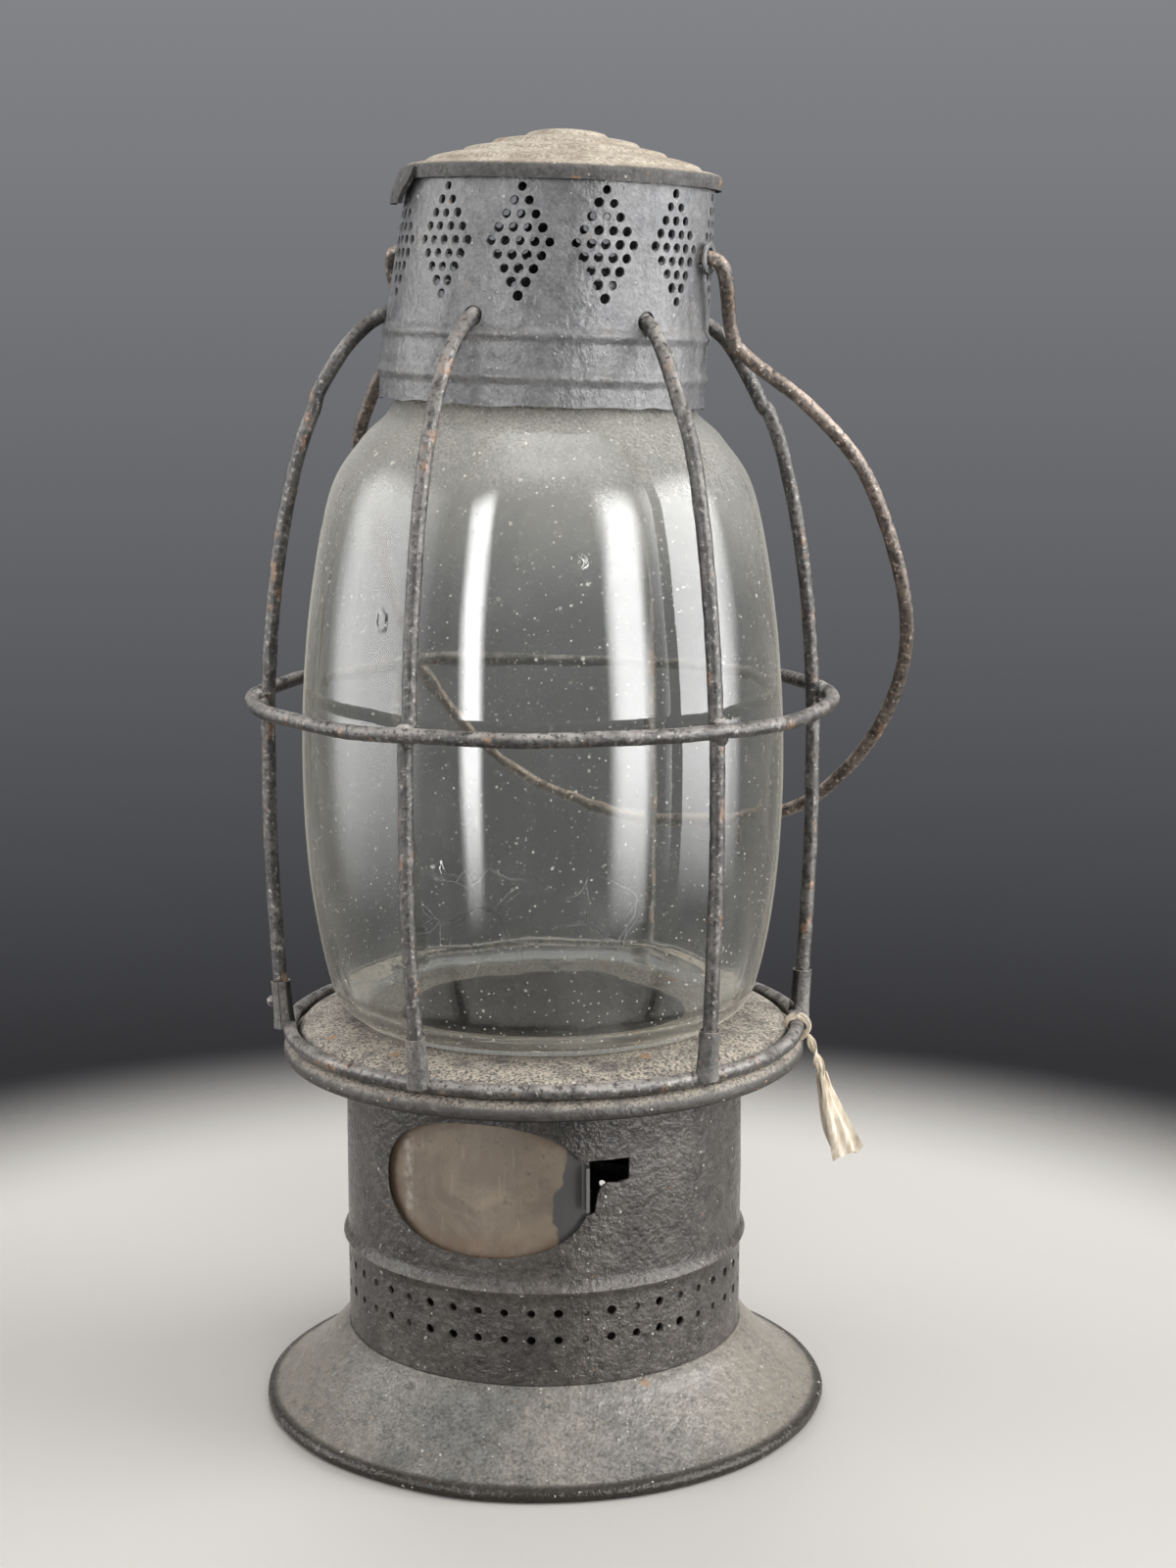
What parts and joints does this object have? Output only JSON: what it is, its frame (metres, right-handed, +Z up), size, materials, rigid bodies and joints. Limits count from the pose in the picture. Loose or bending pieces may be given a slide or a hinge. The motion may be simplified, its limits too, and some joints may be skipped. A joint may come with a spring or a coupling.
{
  "type": "kerosene lantern",
  "caption": "Wire-guarded kerosene lantern: flared tin base with sliding door, glass globe in a wire cage, vented hood with lift-off cap, swinging bail, turn-out fount with wick burner.",
  "frame": {"origin": "centre of the lantern's axis on the level of its base, at the middle of the fount's flat bottom", "axes": "+Z up along the lantern's axis, -Y towards the front with the sliding door, +X to the right"},
  "size_m": [0.1745, 0.1622, 0.3372],
  "materials": {
    "skirt_tin": "worn grey paint, dusty",
    "hood_tin": "worn grey paint with bare and rusted specks",
    "cap_tin": "tan dust over dark paint",
    "dark_tin": "dark paint with speckles",
    "bare_tin": "bare tarnished tin plate",
    "wire": "blackened wire, rust in places",
    "bail_wire": "brown rust",
    "brass": "tarnished brass",
    "cotton": "woven cotton",
    "paper": "twisted white paper strip",
    "glass": "clear glass, faint green tint, dusty shoulder"
  },
  "bodies": {
    "lantern": {"base_skirt": "skirt_tin", "base_drum": "dark_tin", "door_rail_lower": "bare_tin", "door_rail_upper": "bare_tin", "guard_plate": "dark_tin", "plate_ring": "wire", "guard_ring": "wire", "guard_wire_1": "wire", "guard_wire_2": "wire", "guard_wire_3": "wire", "guard_wire_4": "wire", "guard_wire_5": "wire", "guard_wire_6": "wire", "guard_sleeve_1": "dark_tin", "guard_sleeve_2": "dark_tin", "guard_sleeve_3": "dark_tin", "guard_sleeve_4": "dark_tin", "guard_sleeve_5": "dark_tin", "guard_sleeve_6": "dark_tin", "glass_globe": "glass", "vent_hood": "hood_tin", "bail_ear_left": "hood_tin", "bail_ear_right": "hood_tin", "tag_tie": "paper"},
    "bail": {"bail_handle": "bail_wire"},
    "door": {"shutter_door": "bare_tin"},
    "cap": {"hood_cap": "cap_tin", "cap_tab": "cap_tin"},
    "fount": {"fount_pot": "bare_tin"},
    "burner": {"burner_collar": "brass", "burner_body": "brass", "wick_tube": "brass", "flame_deflector": "brass"},
    "wick_drive": {"wick_wheel": "brass", "wick_stem": "brass", "wick_knob": "brass"},
    "wick_feed": {"wick": "cotton"}
  },
  "joints": [
    {"name": "bail_swing", "type": "hinge", "parent": "lantern", "child": "bail", "pos_m": [0.00326, 0, 0.30591], "axis": [0.9199, -0.3907, -0.0321], "range_deg": [0, 308]},
    {"name": "door_slide", "type": "hinge", "parent": "lantern", "child": "door", "pos_m": [0, 0, 0.0726], "axis": [0, 0, 1], "range_deg": [-57, 0]},
    {"name": "cap_lift", "type": "slide", "parent": "lantern", "child": "cap", "axis": [0.0349, 0, 0.9994], "range_m": [0, 0.04]},
    {"name": "fount_turn", "type": "hinge", "parent": "lantern", "child": "fount", "pos_m": [0, 0, 0.02], "axis": [0, 0, 1], "range_deg": [0, 60]},
    {"name": "burner_unscrew", "type": "hinge", "parent": "fount", "child": "burner", "pos_m": [0, 0, 0.05], "axis": [0, 0, 1], "range_deg": [0, 360]},
    {"name": "wick_knob_turn", "type": "hinge", "parent": "burner", "child": "wick_drive", "pos_m": [-0.00495, 0.00161, 0.059], "axis": [-0.309, -0.9511, 0], "range_deg": [-114, 57]},
    {"name": "wick_lift", "type": "slide", "parent": "burner", "child": "wick_feed", "axis": [0, 0, 1], "range_m": [-0.008, 0.004]}
  ],
  "couplings": [
    {"joint": "wick_lift", "follows": "wick_knob_turn", "m_per_rad": 0.004}
  ]
}
